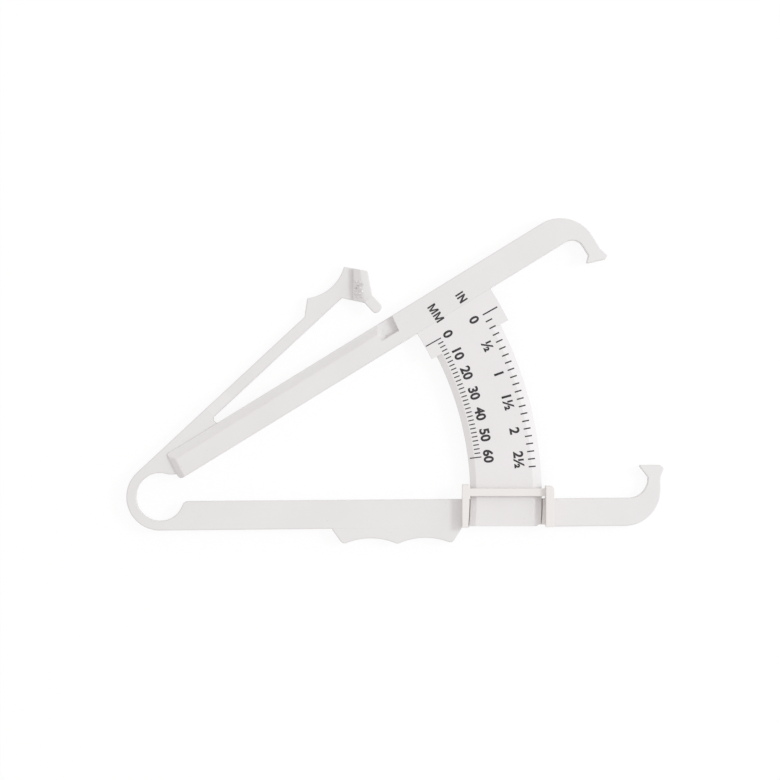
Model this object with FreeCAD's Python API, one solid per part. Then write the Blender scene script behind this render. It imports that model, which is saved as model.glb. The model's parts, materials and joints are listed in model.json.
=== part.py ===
import FreeCAD, Part
import os
from math import asin, cos, degrees, radians, sin, sqrt, tan

# Skinfold caliper: two arms joined by an open spring ring, a thumb lever that bends down on
# the upper arm, and a curved scale that slides through a guide on the lower arm.
#
# Millimetres and degrees. The origin is the centre of the spring ring on the flat back.
# +X runs along the lower arm to its jaw, +Y towards the upper arm, +Z out of the printed face.
# Lengths along an arm or the lever are "u", and heights above its line through the origin "v".
# The caliper is drawn relaxed, with its jaws open.

# Spring ring
RING_BORE_RADIUS = 7.5
RING_WALL = 3.0
RING_RUN_IN = 0.5               # the seam with the lower arm is this far beyond the ring
RING_END_ANGLE = 100.0          # where the seam with the hinge root stands
ROOT_BORE_ANGLE = 70.0          # the hinge root carries on the bore's wall down to this angle
LIP_RADIUS = 1.9                # rounded lip between the bore and the lower arm's inner edge

# Lower arm
JAW_REACH = 153.5               # ring centre to the middle of the lower jaw's face
LOWER_THICKNESS = 5.0
LOWER_WIDTH_AT_RING = 9.1
LOWER_WIDTH_AT_JAW = 8.75
LOWER_INNER_AT_JAW = -0.3       # the inner edge rises a little from the ring to the jaw

# Upper arm
OPEN_ANGLE = 31.6               # slope of the relaxed upper arm
UPPER_WIDTH = 8.95
UPPER_INNER = 1.35              # inner edge above the line through the ring's centre
UPPER_END_TO_BORE = 0.6         # near end of the arm to the ring's bore
UPPER_END_LEAN = 4.5            # the near end leans away from the ring by this angle
UPPER_END_INNER_RADIUS = 1.3
UPPER_END_OUTER_RADIUS = 0.5
UPPER_SHOULDER = 2.7            # width of the sunk outer margin, from the near end to the pocket
UPPER_LEDGE = 0.8               # level outer part of that margin, beyond its slope
UPPER_SHOULDER_DROP = 1.5
UPPER_END_SLOPE = 1.8           # the face slopes down to the near end over this length

# Jaws: a curved neck and a flared foot at each end
LOWER_NECK = 3.9
LOWER_ELBOW_OUTER_RADIUS = 11.3
LOWER_ELBOW_INNER_RADIUS = 6.0
LOWER_FOOT_BASE = 6.2
LOWER_FACE_HEIGHT = 10.0
LOWER_FACE_WIDTH = 6.6
LOWER_NECK_OFFSET = 1.25        # middle of the neck beyond the middle of the face
UPPER_NECK = 4.2
UPPER_ELBOW_OUTER_RADIUS = 11.65
UPPER_ELBOW_INNER_RADIUS = 3.8
UPPER_FOOT_BASE = -5.9
UPPER_FACE_HEIGHT = -8.76
UPPER_FACE_WIDTH = 5.8
UPPER_FACE_TILT = -19.0         # the two faces are parallel when the jaws are half closed
UPPER_FACE_SETBACK = 1.4        # middle of the upper face beyond that of the lower face
UPPER_NECK_OFFSET = 1.05
FOOT_LIP = 1.0                  # depth of a foot's outer tip behind its face
FOOT_BULGE = 1.0                # a foot's outer tip beyond its face
FOOT_INNER_LIP = 0.5

# Finger grip under the lower arm: two scallops between three peaks
GRIP_SCALLOPS = 2
GRIP_PITCH = 17.1
GRIP_DROP = 5.0                 # peaks below the arm's outer edge
GRIP_SCALLOP_DEPTH = 1.9
GRIP_LEAD_IN = 3.5
GRIP_RUN_OUT = 3.1
GRIP_PEAK_RADIUS = 1.6

# Scale: a curved plate whose face is flush with the upper arm's
SCALE_TO_JAW = 34.0             # plate's outer edge to the middle of the lower face
SCALE_WIDTH = 22.3
SCALE_THICKNESS = 1.8
SCALE_TAIL = 9.1                # straight far end below the lower arm's line
SCALE_TAIL_CHAMFER_ALONG = 1.4
SCALE_TAIL_CHAMFER_UP = 1.0
SCALE_INNER_BEVEL = 1.9
SCALE_INNER_DROP = 1.0          # fall of the bevelled face at the plate's inner edge
SCALE_OUTER_BEVEL = 2.7
SCALE_OUTER_DROP = 0.7
SHOULDER_ANGLE = 26.9           # the shoulders stop on the guide posts
SHOULDER_INNER_OVERHANG = 1.8
SHOULDER_OUTER_OVERHANG = 2.8

# Guide: a bar in front of the scale, carried by two posts
GUIDE_CLEARANCE = 0.2           # in front of and behind the plate
LEFT_POST_CLEARANCE = 0.3       # the left post follows the plate's inner edge at this distance
RIGHT_POST_CLEARANCE = 1.2      # beside the plate, where it crosses the arm's line
RIGHT_SILL_CLEARANCE = 0.3      # the right post's sill follows the plate's outer edge
LEFT_POST_WIDTH = 2.3
RIGHT_POST_WIDTH = 2.6
LEFT_POST_TOP = 3.9
RIGHT_POST_TOP = 3.5
RIGHT_POST_CORNER_RADIUS = 1.0
RIGHT_POST_RISE = 1.9           # the right post stands this much higher than the bar
BAR_BOTTOM = 0.3
BAR_TOP = 2.75
BAR_THICKNESS = 1.8
WINDOW_RELIEF = 0.7             # the arm's outer edge is cut back behind the plate

# Thumb lever
LEVER_SPREAD = 11.3             # angle between the relaxed lever and the upper arm
BLADE_WIDTH = 3.6
LEVER_THICKNESS = 4.0
BLADE_TAPER = 8.0               # the blade thins from the hinge root's depth over this length
CREVICE_RADIUS = 1.15           # rounded bottom of the gap between the lever and the arm
BLADE_LENGTH = 41.9             # from the hinge root to the thumb pad
PAD_STEP_LENGTH = 4.6
PAD_STEP_HEIGHT = 3.7
SADDLE_LENGTH = 15.2
SADDLE_DEPTH = 2.3
SADDLE_FALL = 0.6               # the saddle's front end is this much lower than its back end
BROW_LENGTH = 4.4               # from the saddle's front end to the foremost corner
BROW_DROP = 6.1
NOSE_SETBACK = 4.1              # pointer's front side behind the foremost corner
NOSE_DROP = 6.5
PAD_UNDERSIDE = 12.6            # straight underside of the pad, before it turns down to the pointer
POINTER_WIDTH = 3.4
POINTER_LENGTH = 5.2
POINTER_TIP_RADIUS = 1.4
RIB_TOP_WIDTH = 2.4
RIB_SHELF_TOP = 2.2             # length of the rib's shelf along the pad's front edge
RIB_SHELF_BOTTOM = 3.6          # and along its underside
RIB_SHELF_SLOPE = 30.0          # the shelf falls away from the rib

# Pocket in the upper arm that takes the pressed pointer, with a ramp at its near end
POCKET_FLOOR = 4.6
POCKET_DEPTH = 5.05
POCKET_START = 84.8
POCKET_RAMP = 2.0               # length of the ramp, from the arm's face down to the floor
POCKET_BOTTOM_END = 90.9
POCKET_MOUTH_END = 91.5

# Worked out from the sizes above
RING_OUTER_RADIUS = RING_BORE_RADIUS + RING_WALL
RING_SEAM = RING_OUTER_RADIUS + RING_RUN_IN
LOWER_OUTER_AT_JAW = LOWER_INNER_AT_JAW - LOWER_WIDTH_AT_JAW
LOWER_INNER_AT_RING = LOWER_WIDTH_AT_RING - RING_OUTER_RADIUS
LOWER_NECK_OUTER = JAW_REACH + LOWER_NECK_OFFSET + LOWER_NECK / 2
LOWER_SEAM = LOWER_NECK_OUTER - LOWER_ELBOW_OUTER_RADIUS - 1.0
UPPER_END = RING_BORE_RADIUS + UPPER_END_TO_BORE
UPPER_OUTER = UPPER_INNER + UPPER_WIDTH
UPPER_FACE_REACH = JAW_REACH + UPPER_FACE_SETBACK
UPPER_NECK_OUTER = UPPER_FACE_REACH + UPPER_NECK_OFFSET + UPPER_NECK / 2
UPPER_SEAM = UPPER_NECK_OUTER - UPPER_ELBOW_OUTER_RADIUS - 1.0
SCALE_BACK = LOWER_THICKNESS + GUIDE_CLEARANCE
UPPER_THICKNESS = SCALE_BACK + SCALE_THICKNESS
SCALE_OUTER_RADIUS = JAW_REACH - SCALE_TO_JAW
SCALE_INNER_RADIUS = SCALE_OUTER_RADIUS - SCALE_WIDTH
LEFT_POST_END = SCALE_INNER_RADIUS - LEFT_POST_CLEARANCE
LEFT_POST_START = LEFT_POST_END - LEFT_POST_WIDTH
RIGHT_POST_START = SCALE_OUTER_RADIUS + RIGHT_POST_CLEARANCE
RIGHT_POST_END = RIGHT_POST_START + RIGHT_POST_WIDTH
BAR_BACK = UPPER_THICKNESS + GUIDE_CLEARANCE
GUIDE_FRONT = BAR_BACK + BAR_THICKNESS
RIGHT_POST_FRONT = GUIDE_FRONT + RIGHT_POST_RISE
LEVER_ANGLE = OPEN_ANGLE + LEVER_SPREAD
BLADE_OUTER = RING_OUTER_RADIUS
BLADE_INNER = BLADE_OUTER - BLADE_WIDTH
# The blade's inner edge and the arm's outer edge meet this far along each, and the rounded
# crevice between them touches both edges this much further on.
SPREAD = radians(LEVER_SPREAD)
APEX_ON_BLADE = (UPPER_OUTER - BLADE_INNER * cos(SPREAD)) / sin(SPREAD)
APEX_ON_ARM = APEX_ON_BLADE * cos(SPREAD) - BLADE_INNER * sin(SPREAD)
CREVICE_TANGENT = CREVICE_RADIUS / tan(SPREAD / 2)
BLADE_START = APEX_ON_BLADE + CREVICE_TANGENT
PAD_START = BLADE_START + BLADE_LENGTH

ORIGIN = FreeCAD.Vector(0, 0, 0)
FRONT = FreeCAD.Vector(0, 0, 1)


def point(u, v, slope=0.0):
    """The point u along and v above a line through the origin with this slope."""
    c, s = cos(radians(slope)), sin(radians(slope))
    return FreeCAD.Vector(u * c - v * s, u * s + v * c, 0)


def polar(radius, angle):
    return point(radius, 0, angle)


def contour(start, *steps):
    """A closed wire from start. A point is a straight run to it, a pair (middle, end) an arc."""
    edges, here = [], start
    for step in [*steps, start]:
        middle, end = step if isinstance(step, tuple) else (None, step)
        if middle is not None:
            edges.append(Part.Arc(here, middle, end).toShape())
        elif here.distanceToPoint(end) > 1e-6:
            edges.append(Part.LineSegment(here, end).toShape())
        here = end
    return Part.Wire(edges)


def rounded(corners):
    """A closed wire through (x, y) or (x, y, radius) corners, with a tangent arc at each radius."""
    points = [FreeCAD.Vector(x, y, 0) for x, y, *_ in corners]
    steps = []
    for i, here in enumerate(points):
        radius = corners[i][2] if len(corners[i]) > 2 else 0
        if not radius:
            steps.append(here)
            continue
        back = (points[i - 1] - here).normalize()
        ahead = (points[(i + 1) % len(points)] - here).normalize()
        half = back.getAngle(ahead) / 2
        trim = radius / tan(half)
        inward = (back + ahead).normalize()
        middle = here + inward * (radius / sin(half) - radius)
        steps += [here + back * trim, (middle, here + ahead * trim)]
    return contour(steps[0], *steps[1:])


def prism(wire, back, front):
    """The solid between two heights over a closed wire."""
    wire.translate(FreeCAD.Vector(0, 0, back))
    return Part.Face(wire).extrude(FreeCAD.Vector(0, 0, front - back))


def swept(corners, along):
    """The solid that a polygon of (x, y, z) corners passes through when it moves by a vector."""
    points = [FreeCAD.Vector(*corner) for corner in corners]
    return Part.Face(Part.makePolygon([*points, points[0]])).extrude(along)


def sector(profile, start_angle, end_angle):
    """A closed (radius, height) profile turned about the ring's axis between two angles."""
    corners = [FreeCAD.Vector(radius, 0, height) for radius, height in profile]
    face = Part.Face(contour(corners[0], *corners[1:]))
    face.rotate(ORIGIN, FRONT, start_angle)
    return face.revolve(ORIGIN, FRONT, end_angle - start_angle)


def turned(shape, slope):
    shape.rotate(ORIGIN, FRONT, slope)
    return shape


def lower_inner(x):
    """Height of the lower arm's inner edge."""
    rise = LOWER_INNER_AT_JAW - LOWER_INNER_AT_RING
    return LOWER_INNER_AT_RING + rise * x / LOWER_SEAM


def lower_outer(x):
    """Height of the lower arm's outer edge."""
    rise = LOWER_OUTER_AT_JAW + RING_OUTER_RADIUS
    return -RING_OUTER_RADIUS + rise * x / LOWER_SEAM


def lower_arm():
    beam = contour(
        point(RING_SEAM, lower_outer(RING_SEAM)),
        point(LOWER_SEAM, LOWER_OUTER_AT_JAW),
        point(LOWER_SEAM, LOWER_INNER_AT_JAW),
        point(RING_SEAM, lower_inner(RING_SEAM)),
    )
    relief = contour(
        point(LEFT_POST_END, lower_outer(LEFT_POST_END) + WINDOW_RELIEF),
        point(RIGHT_POST_START, lower_outer(RIGHT_POST_START) + WINDOW_RELIEF),
        point(RIGHT_POST_START, -2 * RING_OUTER_RADIUS),
        point(LEFT_POST_END, -2 * RING_OUTER_RADIUS),
    )
    return prism(beam, 0, LOWER_THICKNESS).cut(prism(relief, -1, LOWER_THICKNESS + 1))


def ring_end():
    """The seam between the ring and the hinge root, from the bore to the outside."""
    outside = BLADE_OUTER / cos(radians(LEVER_ANGLE + 90 - RING_END_ANGLE))
    return polar(RING_BORE_RADIUS, RING_END_ANGLE), polar(outside, RING_END_ANGLE)


def spring_ring():
    """An open ring, from its seam with the lower arm and the lip beside it to the hinge root."""
    lip_height = lower_inner(RING_BORE_RADIUS) - LIP_RADIUS
    to_lip = RING_BORE_RADIUS + LIP_RADIUS
    lip = point(sqrt(to_lip**2 - lip_height**2), lip_height)
    on_edge = point(lip.x, lower_inner(lip.x))
    on_bore = lip * (RING_BORE_RADIUS / to_lip)
    crest = lip + (on_edge + on_bore - lip * 2).normalize() * LIP_RADIUS
    lip_angle = degrees(asin(lip.y / to_lip))
    end_inside, end_outside = ring_end()
    return prism(contour(
        point(RING_SEAM, lower_inner(RING_SEAM)),
        on_edge,
        (crest, on_bore),
        (polar(RING_BORE_RADIUS, (lip_angle + RING_END_ANGLE - 360) / 2), end_inside),
        end_outside,
        point(0, BLADE_OUTER, LEVER_ANGLE),
        (polar(RING_OUTER_RADIUS, (90 + LEVER_ANGLE + 270) / 2), point(0, lower_outer(0))),
        point(RING_SEAM, lower_outer(RING_SEAM)),
    ), 0, LOWER_THICKNESS)


def finger_grip():
    end = LEFT_POST_START
    first = end - GRIP_RUN_OUT - GRIP_SCALLOPS * GRIP_PITCH
    start = first - GRIP_LEAD_IN
    peaks = [first + GRIP_PITCH * i for i in range(GRIP_SCALLOPS + 1)]
    steps = [point(peaks[0], lower_outer(peaks[0]) - GRIP_DROP)]
    for here, after in zip(peaks, peaks[1:]):
        middle = (here + after) / 2
        valley = point(middle, lower_outer(middle) - GRIP_DROP + GRIP_SCALLOP_DEPTH)
        steps.append((valley, point(after, lower_outer(after) - GRIP_DROP)))
    steps.append(point(end, lower_outer(end)))
    strip = prism(contour(point(start, lower_outer(start)), *steps), 0, LOWER_THICKNESS)
    ridges = [
        edge for edge in strip.Edges
        if abs(edge.BoundBox.ZLength - LOWER_THICKNESS) < 1e-6
        and any(abs(edge.CenterOfMass.x - peak) < 1e-6 for peak in peaks)
    ]
    return strip.makeFillet(GRIP_PEAK_RADIUS, ridges)


def jaw(seam, outer, inner, neck_outer, neck, foot_base, outer_radius, inner_radius, thickness):
    """The curved end of an arm, from its seam with the straight part up to its foot."""
    elbow = rounded([
        (seam, outer),
        (neck_outer, outer, outer_radius),
        (neck_outer, foot_base),
        (neck_outer - neck, foot_base),
        (neck_outer - neck, inner, inner_radius),
        (seam, inner),
    ])
    return prism(elbow, 0, thickness)


def foot(reach, height, width, tilt, neck_outer, neck, base, thickness):
    """A flared foot from the end of its neck to its contact face."""
    toward = 1 if height > base else -1
    along = point(cos(radians(tilt)), sin(radians(tilt)))
    outward = point(-along.y, along.x) * toward
    middle = point(reach, height)
    inner_end, outer_end = middle - along * (width / 2), middle + along * (width / 2)
    outline = contour(
        point(neck_outer - neck, base),
        inner_end - outward * FOOT_INNER_LIP,
        inner_end,
        outer_end,
        outer_end + along * FOOT_BULGE - outward * FOOT_LIP,
        point(neck_outer, base),
    )
    return prism(outline, 0, thickness)


def guide_post(start, end, top, corner_radius, front):
    """A post over the lower arm's whole width and on past its inner edge."""
    return prism(rounded([
        (start, lower_outer(start)),
        (end, lower_outer(end)),
        (end, top, corner_radius),
        (start, top),
    ]), 0, front)


def left_post(beam):
    """The post whose right side follows the plate's inner edge, less the lower arm behind it."""
    post = guide_post(LEFT_POST_START, SCALE_INNER_RADIUS, LEFT_POST_TOP, 0, GUIDE_FRONT)
    beyond = [
        (LEFT_POST_END, -1),
        (SCALE_INNER_RADIUS + 1, -1),
        (SCALE_INNER_RADIUS + 1, GUIDE_FRONT + 1),
        (LEFT_POST_END, GUIDE_FRONT + 1),
    ]
    return post.cut(sector(beyond, -OPEN_ANGLE, OPEN_ANGLE)).cut(beam)


def right_post(beam):
    """The post beyond the plate's outer edge, with a sill beside that edge and level with it."""
    post = guide_post(
        RIGHT_POST_START, RIGHT_POST_END, RIGHT_POST_TOP, RIGHT_POST_CORNER_RADIUS, RIGHT_POST_FRONT,
    )
    start = SCALE_OUTER_RADIUS - RIGHT_POST_CLEARANCE
    sill = prism(contour(
        point(start, lower_outer(start) + WINDOW_RELIEF),
        point(RIGHT_POST_END, lower_outer(RIGHT_POST_END) + WINDOW_RELIEF),
        point(RIGHT_POST_END, lower_inner(RIGHT_POST_END)),
        point(start, lower_inner(start)),
    ), 0, UPPER_THICKNESS - SCALE_OUTER_DROP)
    sill_edge = SCALE_OUTER_RADIUS + RIGHT_SILL_CLEARANCE
    plate_path = [
        (SCALE_INNER_RADIUS, -1),
        (sill_edge, -1),
        (sill_edge, UPPER_THICKNESS),
        (SCALE_INNER_RADIUS, UPPER_THICKNESS),
    ]
    sill = sill.cut(sector(plate_path, -OPEN_ANGLE, OPEN_ANGLE))
    return post.fuse(sill).removeSplitter().cut(beam)


def guide_bar(post):
    """The bar from the left post to the right one."""
    bar = contour(
        point(LEFT_POST_START, BAR_BOTTOM),
        point(RIGHT_POST_START, BAR_BOTTOM),
        point(RIGHT_POST_START, BAR_TOP),
        point(LEFT_POST_START, BAR_TOP),
    )
    return prism(bar, BAR_BACK, GUIDE_FRONT).cut(post)


def upper_arm():
    lean = tan(radians(UPPER_END_LEAN))
    end = UPPER_END - UPPER_INNER * lean
    beam = prism(rounded([
        (UPPER_END, UPPER_INNER, UPPER_END_INNER_RADIUS),
        (UPPER_SEAM, UPPER_INNER),
        (UPPER_SEAM, UPPER_OUTER),
        (end + UPPER_OUTER * lean, UPPER_OUTER, UPPER_END_OUTER_RADIUS),
    ]), 0, UPPER_THICKNESS)
    level = UPPER_THICKNESS - UPPER_SHOULDER_DROP
    above = UPPER_THICKNESS + 1
    shoulder = swept([
        (0, UPPER_OUTER - UPPER_SHOULDER, UPPER_THICKNESS),
        (0, UPPER_OUTER - UPPER_LEDGE, level),
        (0, UPPER_OUTER + 1, level),
        (0, UPPER_OUTER + 1, above),
        (0, UPPER_OUTER - UPPER_SHOULDER, above),
    ], FreeCAD.Vector(POCKET_START + POCKET_RAMP, 0, 0))
    end_slope = swept([
        (end + UPPER_END_SLOPE, 0, UPPER_THICKNESS),
        (end, 0, level),
        (end - 1, 0, level),
        (end - 1, 0, above),
        (end + UPPER_END_SLOPE, 0, above),
    ], FreeCAD.Vector(lean, 1, 0) * (2 * UPPER_OUTER))
    bottom = UPPER_OUTER - POCKET_DEPTH
    pocket = prism(contour(
        point(POCKET_START, bottom),
        point(POCKET_BOTTOM_END, bottom),
        point(POCKET_MOUTH_END, UPPER_OUTER),
        point(POCKET_MOUTH_END, UPPER_OUTER + 1),
        point(POCKET_START, UPPER_OUTER + 1),
    ), POCKET_FLOOR, above)
    ramp = swept([
        (POCKET_START, bottom, POCKET_FLOOR),
        (POCKET_START + POCKET_RAMP, bottom, POCKET_FLOOR),
        (POCKET_START, bottom, UPPER_THICKNESS),
    ], FreeCAD.Vector(0, POCKET_DEPTH + 1, 0))
    return turned(beam.cut(shoulder).cut(end_slope).cut(pocket.cut(ramp)), OPEN_ANGLE)


def scale_plate():
    bevelled = [
        (SCALE_INNER_RADIUS, SCALE_BACK),
        (SCALE_OUTER_RADIUS, SCALE_BACK),
        (SCALE_OUTER_RADIUS, UPPER_THICKNESS - SCALE_OUTER_DROP),
        (SCALE_OUTER_RADIUS - SCALE_OUTER_BEVEL, UPPER_THICKNESS),
        (SCALE_INNER_RADIUS + SCALE_INNER_BEVEL, UPPER_THICKNESS),
        (SCALE_INNER_RADIUS, UPPER_THICKNESS - SCALE_INNER_DROP),
    ]
    inner = SCALE_INNER_RADIUS - SHOULDER_INNER_OVERHANG
    outer = SCALE_OUTER_RADIUS + SHOULDER_OUTER_OVERHANG
    shoulder = [
        (inner, SCALE_BACK),
        (outer, SCALE_BACK),
        (outer, UPPER_THICKNESS),
        (inner, UPPER_THICKNESS),
    ]
    below_level = degrees(asin(SCALE_TAIL / inner)) + 1
    arm_edge = OPEN_ANGLE + degrees(asin(UPPER_INNER / inner))
    plate = sector(bevelled, -below_level, SHOULDER_ANGLE)
    plate = plate.fuse(sector(shoulder, SHOULDER_ANGLE, arm_edge + 1))
    chamfer_top = SCALE_TAIL_CHAMFER_UP - SCALE_TAIL
    corner = sqrt(SCALE_OUTER_RADIUS**2 - chamfer_top**2)
    kept = contour(
        point(inner / 2, -SCALE_TAIL),
        point(corner - SCALE_TAIL_CHAMFER_ALONG, -SCALE_TAIL),
        point(corner, chamfer_top),
        point(2 * outer, chamfer_top),
        point(2 * outer, UPPER_INNER, OPEN_ANGLE),
        point(inner / 2, UPPER_INNER, OPEN_ANGLE),
    )
    return plate.common(prism(kept, 0, UPPER_THICKNESS + 1)).removeSplitter()


def hinge_root(arm):
    """The wedge that carries the upper arm and the lever from the end of the spring ring."""
    apex = point(APEX_ON_BLADE, BLADE_INNER, LEVER_ANGLE)
    to_deepest = CREVICE_RADIUS / sin(SPREAD / 2) - CREVICE_RADIUS
    deepest = apex + polar(to_deepest, OPEN_ANGLE + LEVER_SPREAD / 2)
    end_inside, end_outside = ring_end()
    wall_end = polar(RING_BORE_RADIUS, ROOT_BORE_ANGLE)
    inside_arm = UPPER_END + UPPER_END_INNER_RADIUS
    slope = radians(OPEN_ANGLE)
    sill = (wall_end.y - inside_arm * sin(slope)) / cos(slope)
    wedge = prism(contour(
        end_outside,
        point(BLADE_START, BLADE_OUTER, LEVER_ANGLE),
        point(BLADE_START, BLADE_INNER, LEVER_ANGLE),
        (deepest, point(APEX_ON_ARM + CREVICE_TANGENT, UPPER_OUTER, OPEN_ANGLE)),
        point(APEX_ON_ARM, (UPPER_INNER + UPPER_OUTER) / 2, OPEN_ANGLE),
        point(inside_arm, sill, OPEN_ANGLE),
        wall_end,
        (polar(RING_BORE_RADIUS, (ROOT_BORE_ANGLE + RING_END_ANGLE) / 2), end_inside),
    ), 0, LOWER_THICKNESS)
    return wedge.cut(arm)


def lever_blade():
    blade = contour(
        point(BLADE_START, BLADE_INNER),
        point(PAD_START, BLADE_INNER),
        point(PAD_START, BLADE_OUTER),
        point(BLADE_START, BLADE_OUTER),
    )
    thinned = swept([
        (BLADE_START, BLADE_INNER, LOWER_THICKNESS),
        (BLADE_START + BLADE_TAPER, BLADE_INNER, LEVER_THICKNESS),
        (PAD_START, BLADE_INNER, LEVER_THICKNESS),
        (PAD_START, BLADE_INNER, LOWER_THICKNESS + 1),
        (BLADE_START, BLADE_INNER, LOWER_THICKNESS + 1),
    ], FreeCAD.Vector(0, BLADE_WIDTH, 0))
    return turned(prism(blade, 0, LOWER_THICKNESS).cut(thinned), LEVER_ANGLE)


def lever_head():
    """The corners that the thumb pad, the rib and the pointer share, in the lever's own frame."""
    heel = point(PAD_START + PAD_STEP_LENGTH, BLADE_OUTER + PAD_STEP_HEIGHT)
    crest = heel + point(SADDLE_LENGTH, -SADDLE_FALL)
    brow = crest + point(BROW_LENGTH, -BROW_DROP)
    rib_top = brow + (crest - brow).normalize() * RIB_TOP_WIDTH
    front = brow + point(-NOSE_SETBACK, -NOSE_DROP)
    back = front - point(POINTER_WIDTH, 0)
    return heel, crest, brow, rib_top, front, back


def thumb_pad():
    heel, crest, _, rib_top, _, back = lever_head()
    lowest = (heel + crest) / 2 - point(0, SADDLE_DEPTH)
    pad = contour(
        point(PAD_START, BLADE_INNER),
        point(PAD_START, BLADE_OUTER),
        heel,
        (lowest, crest),
        rib_top,
        back,
        point(PAD_START + PAD_UNDERSIDE, BLADE_INNER),
    )
    return turned(prism(pad, 0, LEVER_THICKNESS), LEVER_ANGLE)


def lever_rib():
    """The raised rib down the front of the thumb pad, with a sloping shelf on the pad behind it."""
    _, crest, brow, rib_top, front, back = lever_head()
    underside = point(PAD_START + PAD_UNDERSIDE, BLADE_INNER)
    shelf_top = rib_top + (crest - rib_top).normalize() * RIB_SHELF_TOP
    shelf_bottom = back + (underside - back).normalize() * RIB_SHELF_BOTTOM
    run = rib_top - back
    behind = point(-run.y, run.x).normalize() * RIB_SHELF_BOTTOM
    fall = RIB_SHELF_BOTTOM * tan(radians(RIB_SHELF_SLOPE))
    start = back - run
    above = swept([
        start + FRONT * UPPER_THICKNESS,
        start + FRONT * (UPPER_THICKNESS + 1),
        start + behind + FRONT * (UPPER_THICKNESS + 1),
        start + behind + FRONT * (UPPER_THICKNESS - fall),
    ], run * 3)
    shelf = contour(shelf_top, rib_top, back, shelf_bottom)
    rib = prism(contour(rib_top, brow, front, back), 0, UPPER_THICKNESS)
    rib = rib.fuse(prism(shelf, LEVER_THICKNESS, UPPER_THICKNESS).cut(above)).removeSplitter()
    return turned(rib, LEVER_ANGLE)


def lever_pointer():
    """The tip that enters the upper arm's pocket when the lever is pressed."""
    _, _, _, _, front, back = lever_head()
    tip = front.y - POINTER_LENGTH
    pointer = rounded([
        (front.x, front.y),
        (back.x, back.y),
        (back.x, tip, POINTER_TIP_RADIUS),
        (front.x, tip, POINTER_TIP_RADIUS),
    ])
    return turned(prism(pointer, SCALE_BACK, UPPER_THICKNESS), LEVER_ANGLE)


def build():
    """Every piece by name."""
    beam = lower_arm()
    arm = upper_arm()
    post = left_post(beam)
    lower_jaw = jaw(
        LOWER_SEAM, LOWER_OUTER_AT_JAW, LOWER_INNER_AT_JAW, LOWER_NECK_OUTER, LOWER_NECK,
        LOWER_FOOT_BASE, LOWER_ELBOW_OUTER_RADIUS, LOWER_ELBOW_INNER_RADIUS, LOWER_THICKNESS,
    )
    lower_foot = foot(
        JAW_REACH, LOWER_FACE_HEIGHT, LOWER_FACE_WIDTH, 0.0,
        LOWER_NECK_OUTER, LOWER_NECK, LOWER_FOOT_BASE, LOWER_THICKNESS,
    )
    upper_jaw = jaw(
        UPPER_SEAM, UPPER_OUTER, UPPER_INNER, UPPER_NECK_OUTER, UPPER_NECK,
        UPPER_FOOT_BASE, UPPER_ELBOW_OUTER_RADIUS, UPPER_ELBOW_INNER_RADIUS, UPPER_THICKNESS,
    )
    upper_foot = foot(
        UPPER_FACE_REACH, UPPER_FACE_HEIGHT, UPPER_FACE_WIDTH, UPPER_FACE_TILT,
        UPPER_NECK_OUTER, UPPER_NECK, UPPER_FOOT_BASE, UPPER_THICKNESS,
    )
    return {
        "spring_ring": spring_ring(),
        "lower_arm": beam,
        "finger_grip": finger_grip(),
        "lower_jaw": lower_jaw,
        "lower_jaw_foot": lower_foot,
        "guide_post_left": post,
        "guide_post_right": right_post(beam),
        "guide_bar": guide_bar(post),
        "hinge_root": hinge_root(arm),
        "upper_arm": arm,
        "upper_jaw": turned(upper_jaw, OPEN_ANGLE),
        "upper_jaw_foot": turned(upper_foot, OPEN_ANGLE),
        "scale_plate": scale_plate(),
        "lever_blade": lever_blade(),
        "thumb_pad": thumb_pad(),
        "lever_rib": lever_rib(),
        "lever_pointer": lever_pointer(),
    }


os.makedirs("parts", exist_ok=True)
for name, shape in build().items():
    solid = shape if shape.ShapeType == "Solid" else shape.Solids[0]
    solid.exportStep(f"parts/{name}.step")
    print(f"{name}: {len(shape.Solids)} solid, {solid.Volume:.1f} mm3, valid {solid.isValid()}")
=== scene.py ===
import json
from math import cos, degrees, pi, radians, sin, tan

import bmesh
import bpy
import numpy as np
from mathutils import Matrix, Vector
from mathutils.bvhtree import BVHTree


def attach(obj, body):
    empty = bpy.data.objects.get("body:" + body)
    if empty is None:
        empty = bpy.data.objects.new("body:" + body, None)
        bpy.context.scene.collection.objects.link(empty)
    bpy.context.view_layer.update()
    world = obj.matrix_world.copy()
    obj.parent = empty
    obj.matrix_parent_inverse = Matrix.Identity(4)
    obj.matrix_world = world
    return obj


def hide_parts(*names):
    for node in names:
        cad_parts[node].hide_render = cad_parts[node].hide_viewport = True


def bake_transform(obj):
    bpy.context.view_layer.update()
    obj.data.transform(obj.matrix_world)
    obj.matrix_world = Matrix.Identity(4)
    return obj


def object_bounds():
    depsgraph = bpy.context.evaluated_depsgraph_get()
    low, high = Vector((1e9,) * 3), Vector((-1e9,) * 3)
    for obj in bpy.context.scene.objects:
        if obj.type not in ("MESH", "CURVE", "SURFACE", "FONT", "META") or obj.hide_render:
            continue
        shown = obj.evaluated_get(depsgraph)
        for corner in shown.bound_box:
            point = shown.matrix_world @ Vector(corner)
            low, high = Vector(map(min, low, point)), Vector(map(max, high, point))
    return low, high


# Skinfold caliper in white plastic, with its scale printed in black. Metres and degrees.
# The frame's origin is the centre of the spring ring, +X runs along the lower arm and +Z out of
# the printed face.

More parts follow.
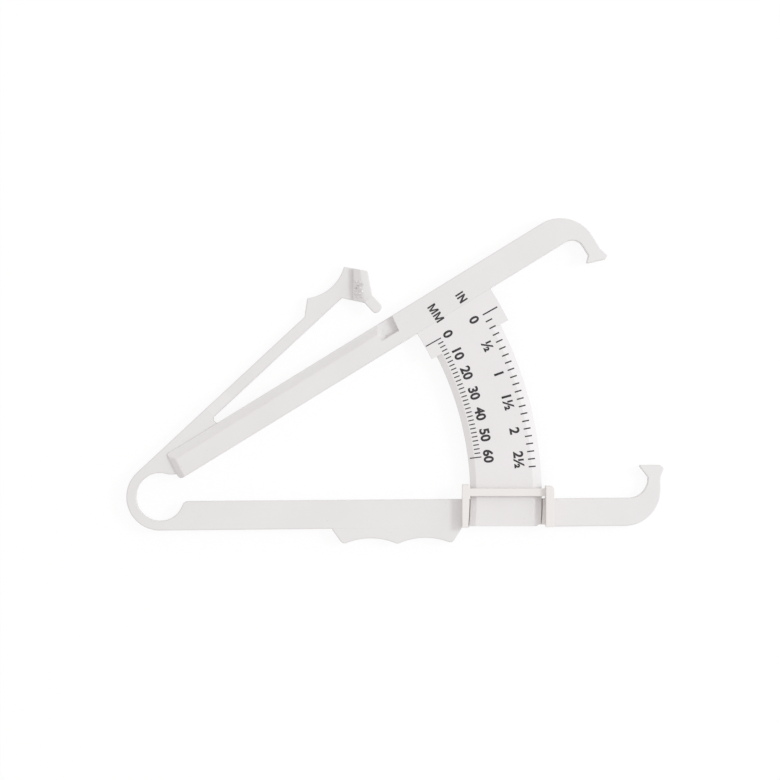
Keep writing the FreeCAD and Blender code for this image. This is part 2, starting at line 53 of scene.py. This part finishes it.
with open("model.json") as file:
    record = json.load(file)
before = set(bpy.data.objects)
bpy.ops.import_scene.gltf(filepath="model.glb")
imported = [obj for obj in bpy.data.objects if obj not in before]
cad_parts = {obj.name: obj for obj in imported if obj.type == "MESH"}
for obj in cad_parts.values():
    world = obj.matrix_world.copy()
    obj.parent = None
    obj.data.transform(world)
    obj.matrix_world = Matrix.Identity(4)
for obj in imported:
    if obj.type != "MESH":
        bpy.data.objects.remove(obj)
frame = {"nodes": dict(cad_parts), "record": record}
cad_low, cad_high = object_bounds()
nodes = frame["nodes"]
MM = 0.001

# Photograph
PHOTO_SIZE = 780
PHOTO_RING_CENTRE = (159.3, 496.5)      # pixel of the spring ring's centre
PIXELS_PER_MM = 3.195
CAMERA_LENS = 250.0
CAMERA_SENSOR = 36.0
CAMERA_CLIP = (0.01, 20.0)
FOCUS_HEIGHT = 5 * MM                   # the arms' face, where the photograph's scale holds

# Light and floor
LAMP_AZIMUTH = 10.0                     # the lamp stands beyond the jaws
LAMP_ELEVATION = 47.0
LAMP_DISTANCE = 0.85                    # from the middle of the caliper
LAMP_SPREAD = 12.0                      # angle that the lamp fills, seen from there
LAMP_STRENGTH = 0.63                    # light on a surface that faces it there
LAMP_COLOUR = (0.93, 1.0, 1.02)
AMBIENT = (0.873, 0.856, 0.851)
AMBIENT_AZIMUTH = 31.6                  # the room is brightest on this side
AMBIENT_TILT = 0.25                     # and is this share brighter there than on the mean
FLOOR_DROP = 0.05 * MM
FLOOR_HALF = 3.0
FLOOR_PAPER = 0.85
FLOOR_CLOUD_DEPTH = 0.01                # how much darker the paper is in places
FLOOR_CLOUD_SCALE = 30.0
FLOOR_SHOWN = 0.12                      # share of the light on it that the camera sees
FLOOR_GLOW = 0.885                      # what the camera sees of it besides

# Plastic. A scale is the number of a noise's features to the metre, and a range is where in its
# 0 to 1 a change starts and ends.
NOISE_SPAN = (0.3, 0.7)                 # where most of a noise's values lie
CLOUD_SCALE = 45.0
CLOUD_RANGE = (0.32, 0.68)
SPECK_SCALE = 1400.0
SPECK_RANGE = (0.74, 0.80)
SPECK_TINT = (0.90, 0.885, 0.87)
WEAR_SCALE = 320.0
WEAR_LEAST = 0.15                       # of the wear on an edge, where the noise is lowest
WEAR_TINT = (0.965, 0.955, 0.945)
WEAR_POLISH = 0.08                      # roughness that a worn edge loses
SCUFF_SCALE = 900.0
SCUFF_STRETCH = (1.0, 6.0, 1.0)
SCUFF_RANGE = (0.58, 0.72)
SCUFF_ROUGHNESS = 0.10                  # roughness that a scuff adds
ROUGHNESS_SCALE = 130.0
GRAIN_SCALE = 7500.0
GRAIN_STRENGTH = 0.35
RIPPLE_SCALE = 260.0
RIPPLE_STRENGTH = 0.5
RIPPLE_DEPTH = 0.04 * MM
PLASTIC_IOR = 1.49
# Size of the painted light and shade spots on the grip pips, which stand in for their lit and shaded facets
GRIP_PAINTED_SPOT_SCALE = 850.0                 # the grip pips' clouds are as small as spots

# Printing ink, with scales and ranges as above
INK_PATCH_SCALE = 900.0
INK_PATCH_RANGE = (0.35, 0.75)
INK_DARK = (0.012, 0.011, 0.013)
INK_GREY = (0.045, 0.040, 0.043)
INK_ROUGHNESS = (0.42, 0.62)
PINHOLE_SCALE = 5200.0
PINHOLE_RANGE = (0.70, 0.76)
PINHOLE_COLOUR = (0.30, 0.29, 0.29)
PINHOLE_STRENGTH = 0.4
PINHOLE_DEPTH = 0.01 * MM
INK_IOR = 1.5

# Moulded edges
EDGE_RADIUS = 0.35 * MM
PLATE_EDGE_RADIUS = 0.12 * MM
GUIDE_EDGE_RADIUS = 0.15 * MM
EDGE_SEGMENTS = 3
ARC_PROFILE = 0.5                       # the bevel shape that is a plain arc
ROUNDED_FROM = 25.0                     # convex edges sharper than this are rounded
CREASED_FROM = 10.0                     # others sharper than this stay crisp
TOUCHING = 0.02 * MM
LONG_EDGE = 20 * TOUCHING               # only longer edges are split
SHORTEST_PART = 5 * TOUCHING            # that a split leaves
SAME_PLACE = 1e-7
SAME_PLANE = 0.3                        # faces at smaller angles than this become one
RAY_START = 1.0                         # height that rays are cast down from

# Joints
OPEN_ANGLE = 31.6                       # slope of the relaxed upper arm
LEVER_ANGLE = 42.9                      # slope of the relaxed lever
BLADE_STATIONS = 28

# Print on the scale. Radii are from the ring's centre.
INK_THICKNESS = 0.03 * MM
INK_SUNK = 0.01 * MM
MM_LINE_WIDTH = 0.34 * MM
INCH_LINE_WIDTH = 0.42 * MM
LINE_STEP = 0.2 * MM
MM_ZERO_ANGLE = 29.5
MM_ANGLE = 0.373                        # of the scale for each millimetre between the jaws
MM_RANGE = 60
MM_TICK_EVERY = 2
MM_TICK = (99.4 * MM, 101.2 * MM)
MM_ZERO_LINE = (95.7 * MM, 101.1 * MM)
MM_LAST_LINE = (97.8 * MM, 101.4 * MM)
MM_NUMBER_EVERY = 10
MM_NUMBER_RADIUS = 103.7 * MM
INCH_ZERO_ANGLE = 29.4
INCH_ANGLE = 9.41                       # of the scale for each inch between the jaws
INCH_TICKS = 21
INCH_TICKS_PER_INCH = 8
INCH_TICK = (115.8 * MM, 118.0 * MM)
INCH_ZERO_LINE = (116.0 * MM, 121.2 * MM)
INCH_NUMBER_RADIUS = 113.0 * MM
INCH_NUMBERS = ("0", "½", "1", "1½", "2", "2½")
INCH_NUMBERS_PER_INCH = 2
NUMBER_HEIGHT = 3.0 * MM
UNITS = (                               # word, radius, angle and height
    ("MM", 103.8 * MM, 33.67, 2.75 * MM),
    ("IN", 113.2 * MM, 33.5, 2.8 * MM),
)
FONT_WEIGHT = 0.035                     # outlines grow by this share of the letter size
FONT_CAP_HEIGHT = 0.729                 # of the letter size
FONT_CURVE_STEPS = 6
CAPITAL_STROKE = 0.18                   # of a capital's height, as the widths and the gap are
CAPITAL_WIDTHS = {"M": 0.96, "N": 0.74, "I": CAPITAL_STROKE}
CAPITAL_GAP = 0.17
N_DIAGONAL_FALL = 0.62                  # of its height, from end to end of the diagonal
M_INNER_TOP = 0.70                      # of its height, up to where a diagonal leaves its leg
M_NOTCH = 0.33                          # of its height, up to the notch between the diagonals
M_CORNER = 1.2                          # width of each of its upper corners, in strokes

# Grip pips where the thumb presses, from the shelf beside the lever's rib on to the rib
PIP_CORNER = (60.1 * MM, 61.6 * MM)     # of the field that they fill
PIP_FIELD = (3.0 * MM, 5.6 * MM)
PIP_PITCH = 1.3 * MM
PIP_ROW_PITCH = 0.95 * MM
PIP_HALF_WIDTH = 0.55 * MM
PIP_TOP_HALF_WIDTH = 0.14 * MM
PIP_HEIGHT = 0.65 * MM
PIP_BASE_FALL = 0.9 * MM                # a base that falls more than this has no pip
PIP_SUNK = 0.2 * MM
PIP_EDGE_RADIUS = 0.05 * MM
PIP_EDGE_SEGMENTS = 2


def direction(angle):
    return Vector((cos(radians(angle)), sin(radians(angle)), 0))


def placed(name, data):
    """A new object in the scene."""
    made = bpy.data.objects.new(name, data)
    bpy.context.scene.collection.objects.link(made)
    return made


# ---------------------------------------------------------------- materials

def new_material(name):
    material = bpy.data.materials.new(name)
    material.use_nodes = True
    tree = material.node_tree
    tree.nodes.clear()
    return material, tree


def fill(tree, socket, value):
    """Links a socket to an input, or sets the input to a plain value."""
    if isinstance(value, bpy.types.NodeSocket):
        tree.links.new(value, socket)
    else:
        socket.default_value = value


def node(tree, kind, **inputs):
    """A shader node with values, or sockets, for its inputs."""
    made = tree.nodes.new(kind)
    for name, value in inputs.items():
        fill(tree, made.inputs[name.replace("_", " ")], value)
    return made


def object_place(tree):
    return tree.nodes.new("ShaderNodeTexCoord").outputs["Object"]


def noise(tree, place, scale, detail=2.0, roughness=0.5):
    made = node(tree, "ShaderNodeTexNoise", Vector=place, Scale=scale, Detail=detail, Roughness=roughness)
    return made.outputs["Fac"]


def ramp(tree, factor, places, low_colour, high_colour):
    made = node(tree, "ShaderNodeValToRGB", Fac=factor)
    for stop, place, colour in zip(made.color_ramp.elements, places, (low_colour, high_colour)):
        stop.position = place
        stop.color = (*colour, 1.0)
    return made.outputs["Color"]


def scaled(tree, factor, low, high, from_low=NOISE_SPAN[0], from_high=NOISE_SPAN[1]):
    made = node(tree, "ShaderNodeMapRange", Value=factor, From_Min=from_low, From_Max=from_high,
                To_Min=low, To_Max=high)
    return made.outputs["Result"]


def mixed(tree, factor, first, second, blend="MIX"):
    made = tree.nodes.new("ShaderNodeMix")
    made.data_type = "RGBA"
    made.blend_type = blend
    for socket, value in zip((made.inputs[0], made.inputs[6], made.inputs[7]), (factor, first, second)):
        fill(tree, socket, value)
    return made.outputs[2]


def calculated(tree, operation, first, second):
    made = tree.nodes.new("ShaderNodeMath")
    made.operation = operation
    for socket, value in zip(made.inputs, (first, second)):
        fill(tree, socket, value)
    return made.outputs[0]


def plastic(name, pale, deep, rough, grain_depth, cloud_scale=CLOUD_SCALE):
    """Moulded plastic: cloudy white, fine grain, flow marks, scuffs and handled edges."""
    material, tree = new_material(name)
    place = object_place(tree)
    cloud = noise(tree, place, cloud_scale, detail=4.0, roughness=0.6)
    base = ramp(tree, cloud, CLOUD_RANGE, deep, pale)
    speck = noise(tree, place, SPECK_SCALE, detail=1.0)
    specked = ramp(tree, speck, SPECK_RANGE, (1, 1, 1), SPECK_TINT)
    base = mixed(tree, 1.0, base, specked, "MULTIPLY")
    edge = tree.nodes.new("ShaderNodeAttribute")
    edge.attribute_name = "moulded_edge"
    handled = scaled(tree, noise(tree, place, WEAR_SCALE, detail=3.0), WEAR_LEAST, 1.0)
    worn = calculated(tree, "MULTIPLY", edge.outputs["Fac"], handled)
    base = mixed(tree, worn, base, mixed(tree, 1.0, base, (*WEAR_TINT, 1), "MULTIPLY"))

    stretched = node(tree, "ShaderNodeMapping", Vector=place, Scale=SCUFF_STRETCH,
                     Rotation=(0, 0, radians(-OPEN_ANGLE / 2)))
    scuffs = noise(tree, stretched.outputs["Vector"], SCUFF_SCALE, detail=4.0, roughness=0.7)
    roughness = scaled(tree, noise(tree, place, ROUGHNESS_SCALE, detail=3.0), *rough)
    roughness = calculated(tree, "ADD", roughness, scaled(tree, scuffs, 0.0, SCUFF_ROUGHNESS, *SCUFF_RANGE))
    roughness = calculated(tree, "SUBTRACT", roughness, calculated(tree, "MULTIPLY", worn, WEAR_POLISH))

    grain = noise(tree, place, GRAIN_SCALE, roughness=0.6)
    ripple = noise(tree, place, RIPPLE_SCALE)
    fine = node(tree, "ShaderNodeBump", Height=grain, Strength=GRAIN_STRENGTH, Distance=grain_depth)
    bump = node(tree, "ShaderNodeBump", Height=ripple, Strength=RIPPLE_STRENGTH, Distance=RIPPLE_DEPTH,
                Normal=fine.outputs["Normal"])
    shader = node(tree, "ShaderNodeBsdfPrincipled", Base_Color=base, Roughness=roughness,
                  Normal=bump.outputs["Normal"], IOR=PLASTIC_IOR)
    node(tree, "ShaderNodeOutputMaterial", Surface=shader.outputs["BSDF"])
    return material


def printing_ink(name):
    """Black pad-printing ink, a little thin and grey in places."""
    material, tree = new_material(name)
    place = object_place(tree)
    patchy = noise(tree, place, INK_PATCH_SCALE, detail=3.0, roughness=0.6)
    base = ramp(tree, patchy, INK_PATCH_RANGE, INK_DARK, INK_GREY)
    pinholes = noise(tree, place, PINHOLE_SCALE, detail=1.0)
    worn_through = scaled(tree, pinholes, 0.0, 1.0, *PINHOLE_RANGE)
    base = mixed(tree, worn_through, base, (*PINHOLE_COLOUR, 1))
    bump = node(tree, "ShaderNodeBump", Height=pinholes, Strength=PINHOLE_STRENGTH, Distance=PINHOLE_DEPTH)
    roughness = scaled(tree, patchy, *INK_ROUGHNESS)
    shader = node(tree, "ShaderNodeBsdfPrincipled", Base_Color=base, Roughness=roughness,
                  Normal=bump.outputs["Normal"], IOR=INK_IOR)
    node(tree, "ShaderNodeOutputMaterial", Surface=shader.outputs["BSDF"])
    return material


WHITE_PLASTIC = plastic("white_plastic_finish", pale=(0.800, 0.783, 0.784), deep=(0.774, 0.756, 0.756),
                        rough=(0.36, 0.50), grain_depth=0.02 * MM)
GUIDE_PLASTIC = plastic("guide_plastic_finish", pale=(0.842, 0.812, 0.796), deep=(0.820, 0.788, 0.770),
                        rough=(0.36, 0.50), grain_depth=0.02 * MM)
SCALE_PLASTIC = plastic("scale_plastic_finish", pale=(0.816, 0.793, 0.799), deep=(0.796, 0.772, 0.777),
                        rough=(0.30, 0.42), grain_depth=0.01 * MM)
# Painted light and shade: the grip pips' colour runs in small spots from much lighter to much darker than
# the plastic, standing in for their lit facets and shaded sides.
GRIP_PAINTED_LIGHT_AND_SHADE = plastic("grip_plastic_painted_light_and_shade", pale=(0.965, 0.949, 0.950), deep=(0.420, 0.405, 0.407),
                       rough=(0.36, 0.52), grain_depth=0.006 * MM, cloud_scale=GRIP_PAINTED_SPOT_SCALE)
BLACK_INK = printing_ink("black_ink_finish")


# ---------------------------------------------------------------- camera, light and floor

def make_camera():
    """Straight above the printed face, framed as the photograph is."""
    middle = (PHOTO_SIZE - 1) / 2
    x = (middle - PHOTO_RING_CENTRE[0]) / PIXELS_PER_MM * MM
    y = (PHOTO_RING_CENTRE[1] - middle) / PIXELS_PER_MM * MM
    width = PHOTO_SIZE / PIXELS_PER_MM * MM
    data = bpy.data.cameras.new("photo_camera")
    data.lens = CAMERA_LENS
    data.sensor_width = CAMERA_SENSOR
    data.clip_start, data.clip_end = CAMERA_CLIP
    camera = placed("photo_camera", data)
    camera.location = (x, y, FOCUS_HEIGHT + width * CAMERA_LENS / CAMERA_SENSOR)
    bpy.context.scene.camera = camera


def seen_directly(tree):
    """1 for rays from the camera, in reflections and through glass, and 0 for light on the object."""
    path = tree.nodes.new("ShaderNodeLightPath").outputs
    direct = calculated(tree, "MAXIMUM", path["Is Camera Ray"], path["Is Glossy Ray"])
    return calculated(tree, "MAXIMUM", direct, path["Is Transmission Ray"])


def make_world():
    """A room that lights the object from all round, and is plain white where it is seen."""
    world = bpy.data.worlds.new("studio")
    world.use_nodes = True
    tree = world.node_tree
    tree.nodes.clear()
    looking = tree.nodes.new("ShaderNodeTexCoord").outputs["Generated"]
    way = node(tree, "ShaderNodeVectorMath", Vector=looking)
    way.operation = "DOT_PRODUCT"
    way.inputs[1].default_value = direction(AMBIENT_AZIMUTH)
    tilt = scaled(tree, way.outputs["Value"], 1 - AMBIENT_TILT, 1 + AMBIENT_TILT, -1.0, 1.0)
    ambient = node(tree, "ShaderNodeVectorMath", Vector=AMBIENT)
    ambient.operation = "SCALE"
    tree.links.new(tilt, ambient.inputs["Scale"])
    colour = mixed(tree, seen_directly(tree), ambient.outputs["Vector"], (1, 1, 1, 1))
    background = node(tree, "ShaderNodeBackground", Color=colour)
    node(tree, "ShaderNodeOutputWorld", Surface=background.outputs["Background"])
    bpy.context.scene.world = world


def make_lamp():
    """A round softbox beyond the jaws, so the far end is lit a little more than the ring."""
    data = bpy.data.lights.new("studio_lamp", "AREA")
    data.shape = "DISK"
    data.size = 2 * LAMP_DISTANCE * tan(radians(LAMP_SPREAD / 2))
    data.energy = LAMP_STRENGTH * pi * LAMP_DISTANCE**2
    data.color = LAMP_COLOUR
    level = direction(LAMP_AZIMUTH) * cos(radians(LAMP_ELEVATION))
    toward_lamp = level + Vector((0, 0, sin(radians(LAMP_ELEVATION))))
    lamp = placed("studio_lamp", data)
    lamp.location = (cad_low + cad_high) / 2 + toward_lamp * LAMP_DISTANCE
    lamp.rotation_mode = "QUATERNION"
    lamp.rotation_quaternion = toward_lamp.to_track_quat("Z", "Y")
    lamp.visible_camera = False


def floor_material():
    """White paper. Seen directly it reads white, with the faint shadow of what lies on it."""
    material, tree = new_material("floor_paper")
    cloud = noise(tree, object_place(tree), FLOOR_CLOUD_SCALE, detail=3.0)
    deep = FLOOR_PAPER - FLOOR_CLOUD_DEPTH
    paper = ramp(tree, cloud, NOISE_SPAN, (deep, deep, deep), (FLOOR_PAPER, FLOOR_PAPER, FLOOR_PAPER))
    bounced = node(tree, "ShaderNodeBsdfDiffuse", Color=paper)
    shown = node(tree, "ShaderNodeBsdfDiffuse", Color=(FLOOR_SHOWN, FLOOR_SHOWN, FLOOR_SHOWN, 1))
    glow = node(tree, "ShaderNodeEmission", Strength=FLOOR_GLOW)
    direct = tree.nodes.new("ShaderNodeAddShader")
    fill(tree, direct.inputs[0], shown.outputs["BSDF"])
    fill(tree, direct.inputs[1], glow.outputs["Emission"])
    either = node(tree, "ShaderNodeMixShader", Fac=seen_directly(tree))
    fill(tree, either.inputs[1], bounced.outputs["BSDF"])
    fill(tree, either.inputs[2], direct.outputs["Shader"])
    node(tree, "ShaderNodeOutputMaterial", Surface=either.outputs["Shader"])
    return material


def make_floor():
    mesh = bpy.data.meshes.new("floor")
    ways = ((-1, -1), (1, -1), (1, 1), (-1, 1))
    corners = [(x * FLOOR_HALF, y * FLOOR_HALF, -FLOOR_DROP) for x, y in ways]
    mesh.from_pydata(corners, [], [(0, 1, 2, 3)])
    mesh.materials.append(floor_material())
    placed("floor", mesh)


# ---------------------------------------------------------------- moulded pieces

def merged_mesh(mesh):
    """A CAD mesh as one skin, with flat faces in one piece each."""
    bm = bmesh.new()
    bm.from_mesh(mesh)
    bmesh.ops.remove_doubles(bm, verts=bm.verts, dist=SAME_PLACE)
    bmesh.ops.dissolve_limit(bm, angle_limit=radians(SAME_PLANE), verts=bm.verts, edges=bm.edges)
    return bm


SKINS = {name: merged_mesh(cad.data) for name, cad in nodes.items()}
TREES = {name: BVHTree.FromBMesh(skin) for name, skin in SKINS.items()}


def touches(place, but_not):
    """Whether another node's surface is at this place."""
    return any(
        tree.find_nearest(place, TOUCHING)[0] is not None
        for name, tree in TREES.items() if name != but_not
    )


def top_place(x, y, names):
    """The highest point of the named nodes at (x, y), or None beside them."""
    above = Vector((x, y, RAY_START))
    hits = [TREES[name].ray_cast(above, Vector((0, 0, -1)))[0] for name in names]
    return max((hit for hit in hits if hit is not None), key=lambda hit: hit.z, default=None)


def mesh_from(bm, name):
    """The bmesh as a mesh, once it is done with."""
    mesh = bpy.data.meshes.new(name)
    bm.to_mesh(mesh)
    bm.free()
    return mesh


def split_at_neighbours(bm, name):
    """Splits the long edges where a neighbour's corner lies on them, so that joints end there."""
    corners = [v.co for other, skin in SKINS.items() if other != name for v in skin.verts]
    corners = np.array([list(c) for c in corners])
    for edge in [e for e in bm.edges if e.calc_length() > LONG_EDGE]:
        start, end = edge.verts[0], edge.verts[1]
        along = np.array(end.co - start.co)
        length = np.linalg.norm(along)
        offset = corners - np.array(start.co)
        share = offset @ along / length**2
        apart = np.linalg.norm(offset - np.outer(share, along), axis=1)
        inside = (share * length > SHORTEST_PART) & ((1 - share) * length > SHORTEST_PART)
        done = 0.0
        for stop in sorted(share[inside & (apart < TOUCHING)]):
            if (stop - done) * length < SHORTEST_PART:
                continue
            edge, corner = bmesh.utils.edge_split(edge, start, (stop - done) / (1 - done))
            start = corner
            edge = next(e for e in corner.link_edges if e.other_vert(corner) is end)
            done = stop


def round_edges(bm, name, radius):
    """Rounds the convex edges that stand free, and marks the new faces as handled edges."""
    free = []
    for edge in bm.edges:
        angle = degrees(edge.calc_face_angle_signed(0.0))
        middle = (edge.verts[0].co + edge.verts[1].co) / 2
        rounds = angle > ROUNDED_FROM and not touches(middle, name)
        edge.smooth = rounds or abs(angle) < CREASED_FROM
        if rounds:
            free.append(edge)
    layer = bm.faces.layers.float.new("moulded_edge")
    made = bmesh.ops.bevel(bm, geom=free, offset=radius, offset_type="OFFSET", affect="EDGES",
                           segments=EDGE_SEGMENTS, profile=ARC_PROFILE, clamp_overlap=False)
    for face in made["faces"]:
        face[layer] = 1.0


def finished(bm, name, material):
    """A smooth shaded piece from a bmesh."""
    for face in bm.faces:
        face.smooth = True
    mesh = mesh_from(bm, name)
    mesh.materials.append(material)
    piece = placed(name, mesh)
    weighted = piece.modifiers.new("flat_faces", "WEIGHTED_NORMAL")
    weighted.mode = "FACE_AREA"
    weighted.keep_sharp = True
    return piece


def moulded(name, material, radius=EDGE_RADIUS, stations=()):
    """The rounded moulding that stands for a CAD node. stations are planes to divide it at."""
    bm = SKINS[name].copy()
    split_at_neighbours(bm, name)
    round_edges(bm, name, radius)
    for place, normal in stations:
        bmesh.ops.bisect_plane(bm, geom=[*bm.verts, *bm.edges, *bm.faces], plane_co=place, plane_no=normal)
    piece = finished(bm, f"moulded_{name}", material)
    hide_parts(name)
    return piece


def make_mouldings():
    """Every CAD node as a moulding: the ring and the blade are left without a parent, the blade divided at
    stations along it, and the rest ride on their bodies.
    """
    ring = moulded("spring_ring", WHITE_PLASTIC)
    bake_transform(ring)

    along = direction(LEVER_ANGLE)
    corners = [along.dot(v.co) for v in SKINS["lever_blade"].verts]
    start, end = min(corners), max(corners)
    step = (end - start) / BLADE_STATIONS
    stations = [(along * (start + step * i), along) for i in range(1, BLADE_STATIONS)]
    blade = moulded("lever_blade", WHITE_PLASTIC, stations=stations)
    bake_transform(blade)

    for body, members in frame["record"]["behaviour"]["bodies"].items():
        for name in members:
            if name in ("spring_ring", "lever_blade"):
                continue
            if name == "scale_plate":
                piece = moulded(name, SCALE_PLASTIC, PLATE_EDGE_RADIUS)
            elif name.startswith("guide_"):
                piece = moulded(name, GUIDE_PLASTIC, GUIDE_EDGE_RADIUS)
            else:
                piece = moulded(name, WHITE_PLASTIC)
            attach(piece, body)


def lever_place(x, y):
    """The point at (x, y) on the top of the lever's head, or None beside it."""
    return top_place(x, y, ("lever_rib", "thumb_pad"))


def add_pip(bm, x, y):
    """A blunt four-sided pyramid, where the lever's head carries the whole of its base."""
    ways = ((1, 0), (0, 1), (-1, 0), (0, -1))
    feet = [lever_place(x + PIP_HALF_WIDTH * i, y + PIP_HALF_WIDTH * j) for i, j in ways]
    if None in feet or max(foot.z for foot in feet) - min(foot.z for foot in feet) > PIP_BASE_FALL:
        return
    centre = sum(feet, Vector()) / len(feet)
    up = (feet[0] - feet[2]).cross(feet[1] - feet[3]).normalized()
    share = PIP_TOP_HALF_WIDTH / PIP_HALF_WIDTH
    low = [bm.verts.new(foot - up * PIP_SUNK) for foot in feet]
    high = [bm.verts.new(centre + (foot - centre) * share + up * PIP_HEIGHT) for foot in feet]
    bm.faces.new(low[::-1])
    bm.faces.new(high)
    for i in range(len(low)):
        bm.faces.new((low[i - 1], low[i], high[i], high[i - 1]))


def make_pips():
    """Staggered rows of grip pips on the lever's head."""
    bm = bmesh.new()
    for row in range(round(PIP_FIELD[1] / PIP_ROW_PITCH) + 1):
        for column in range(round(PIP_FIELD[0] / PIP_PITCH) + 1):
            x = PIP_CORNER[0] + (column + row % 2 / 2) * PIP_PITCH
            add_pip(bm, x, PIP_CORNER[1] + row * PIP_ROW_PITCH)
    bmesh.ops.bevel(bm, geom=bm.edges[:], offset=PIP_EDGE_RADIUS, offset_type="OFFSET",
                    affect="EDGES", segments=PIP_EDGE_SEGMENTS, profile=ARC_PROFILE)
    # The pips' finish carries painted light and shade in spots.
    pips = finished(bm, "grip_pips", GRIP_PAINTED_LIGHT_AND_SHADE)
    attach(pips, "thumb_lever")


# ---------------------------------------------------------------- print

def face_height(x, y):
    """Height of the printed face, which is the scale's or the upper arm's."""
    return top_place(x, y, ("scale_plate", "upper_arm")).z


def printed(name, flat_meshes):
    """Flat shapes laid on the printed face as a thin layer of ink. Each is (bmesh, matrix)."""
    whole = bmesh.new()
    for bm, matrix in flat_meshes:
        bm.transform(matrix)
        part = mesh_from(bm, "part")
        whole.from_mesh(part)
        bpy.data.meshes.remove(part)
    for vertex in whole.verts:
        vertex.co.z = face_height(vertex.co.x, vertex.co.y) - INK_SUNK
    for face in whole.faces:
        if face.normal.z < 0:
            face.normal_flip()
    raised = bmesh.ops.extrude_face_region(whole, geom=whole.faces[:], use_keep_orig=True)
    tops = [item for item in raised["geom"] if isinstance(item, bmesh.types.BMVert)]
    bmesh.ops.translate(whole, vec=(0, 0, INK_SUNK + INK_THICKNESS), verts=tops)
    bmesh.ops.recalc_face_normals(whole, faces=whole.faces[:])
    mesh = mesh_from(whole, name)
    mesh.materials.append(BLACK_INK)
    piece = placed(name, mesh)
    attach(piece, "upper_arm")


def line(start, end, width):
    """A flat line along X between two radii, divided so that it follows the scale's bevels."""
    steps = max(2, round((end - start) / LINE_STEP))
    bm = bmesh.new()
    rows = []
    for i in range(steps + 1):
        x = start + (end - start) * i / steps
        rows.append([bm.verts.new((x, side * width / 2, 0)) for side in (-1, 1)])
    for (a, b), (c, d) in zip(rows, rows[1:]):
        bm.faces.new((a, c, d, b))
    return bm


def lettering(text, height):
    """Flat bold lettering, centred on the origin."""
    curve = bpy.data.curves.new("lettering", "FONT")
    curve.body = text
    curve.size = height / FONT_CAP_HEIGHT
    curve.offset = FONT_WEIGHT * curve.size
    curve.align_x = "CENTER"
    curve.resolution_u = FONT_CURVE_STEPS
    writer = bpy.data.objects.new("lettering", curve)
    mesh = bpy.data.meshes.new_from_object(writer)
    bm = bmesh.new()
    bm.from_mesh(mesh)
    bmesh.ops.translate(bm, vec=(0, -height / 2, 0), verts=bm.verts)
    bpy.data.objects.remove(writer)
    bpy.data.curves.remove(curve)
    bpy.data.meshes.remove(mesh)
    return bm


def capital(letter, height):
    """The outline of a square-cut capital, from its lower left corner."""
    stroke = CAPITAL_STROKE * height
    width = CAPITAL_WIDTHS[letter] * height
    inner = width - stroke
    if letter == "I":
        return [(0, 0), (width, 0), (width, height), (0, height)]
    if letter == "N":
        fall = N_DIAGONAL_FALL * height
        return [
            (0, 0), (stroke, 0), (stroke, fall), (inner, 0), (width, 0),
            (width, height), (inner, height), (inner, height - fall), (stroke, height), (0, height),
        ]
    leaves = M_INNER_TOP * height
    corner = M_CORNER * stroke
    return [
        (0, 0), (stroke, 0), (stroke, leaves), ((width - stroke) / 2, 0), ((width + stroke) / 2, 0),
        (inner, leaves), (inner, 0), (width, 0), (width, height), (width - corner, height),
        (width / 2, M_NOTCH * height), (corner, height), (0, height),
    ]


def capitals(text, height):
    """A word in square-cut capitals, centred on the origin."""
    gap = CAPITAL_GAP * height
    left = -(sum(CAPITAL_WIDTHS[letter] * height for letter in text) + gap * (len(text) - 1)) / 2
    bm = bmesh.new()
    for letter in text:
        bm.faces.new([bm.verts.new((left + x, y - height / 2, 0)) for x, y in capital(letter, height)])
        left += CAPITAL_WIDTHS[letter] * height + gap
    return bm


def turned(angle):
    return Matrix.Rotation(radians(angle), 4, "Z")


def number_place(radius, angle):
    """Lettering reads down along the arc, with its tops outwards."""
    return turned(angle) @ Matrix.Translation((radius, 0, 0)) @ turned(-90)


def ticks(radii, width, angles):
    """Lines between two radii, one at each angle."""
    return [(line(*radii, width), turned(angle)) for angle in angles]


def numbers(radius, places):
    """Numbers on the arc. places are pairs of text and angle."""
    return [(lettering(text, NUMBER_HEIGHT), number_place(radius, angle)) for text, angle in places]


def mm_angle(millimetres):
    return MM_ZERO_ANGLE - MM_ANGLE * millimetres


def inch_angle(inches):
    return INCH_ZERO_ANGLE - INCH_ANGLE * inches


def make_print():
    between = [mm_angle(n) for n in range(MM_TICK_EVERY, MM_RANGE, MM_TICK_EVERY)]
    lines = ticks(MM_ZERO_LINE, MM_LINE_WIDTH, [mm_angle(0)])
    lines += ticks(MM_TICK, MM_LINE_WIDTH, between)
    lines += ticks(MM_LAST_LINE, MM_LINE_WIDTH, [mm_angle(MM_RANGE)])
    printed("millimetre_ticks", lines)

    after = [inch_angle(n / INCH_TICKS_PER_INCH) for n in range(1, INCH_TICKS + 1)]
    lines = ticks(INCH_ZERO_LINE, INCH_LINE_WIDTH, [inch_angle(0)])
    lines += ticks(INCH_TICK, INCH_LINE_WIDTH, after)
    printed("inch_ticks", lines)

    places = [(str(n), mm_angle(n)) for n in range(0, MM_RANGE + 1, MM_NUMBER_EVERY)]
    printed("millimetre_numbers", numbers(MM_NUMBER_RADIUS, places))

    places = [(text, inch_angle(n / INCH_NUMBERS_PER_INCH)) for n, text in enumerate(INCH_NUMBERS)]
    printed("inch_numbers", numbers(INCH_NUMBER_RADIUS, places))

    units = [(capitals(text, height), number_place(radius, angle)) for text, radius, angle, height in UNITS]
    printed("unit_labels", units)


bpy.context.scene.view_settings.view_transform = "Standard"
make_camera()
make_world()
make_lamp()
make_floor()
make_mouldings()
make_pips()
make_print()
